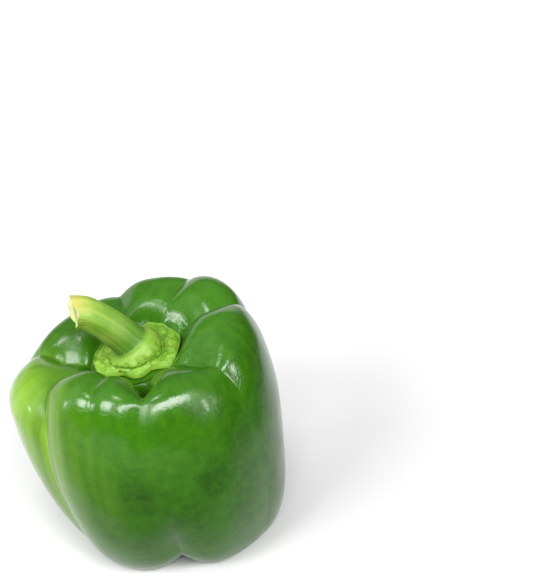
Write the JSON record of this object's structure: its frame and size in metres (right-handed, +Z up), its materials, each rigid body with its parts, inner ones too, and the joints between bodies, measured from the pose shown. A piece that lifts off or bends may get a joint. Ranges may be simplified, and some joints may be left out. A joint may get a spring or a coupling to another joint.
{
  "type": "green bell pepper",
  "caption": "Blocky green bell pepper standing on its lobes, with deep shoulder furrows round a sunken calyx and a bent, cut stalk.",
  "frame": {"origin": "on the surface the pepper stands on, below the middle of its bounding box", "axes": "+Z up from the feet to the stalk, front towards -Y, the stalk bends towards -X"},
  "size_m": [0.0852, 0.0813, 0.0853],
  "materials": {
    "skin": "smooth waxy green skin",
    "stalk": "ribbed fleshy light green stalk and calyx, dry at the cut"
  },
  "bodies": {
    "root": {"pod": "skin", "stalk": "stalk"}
  },
  "joints": []
}
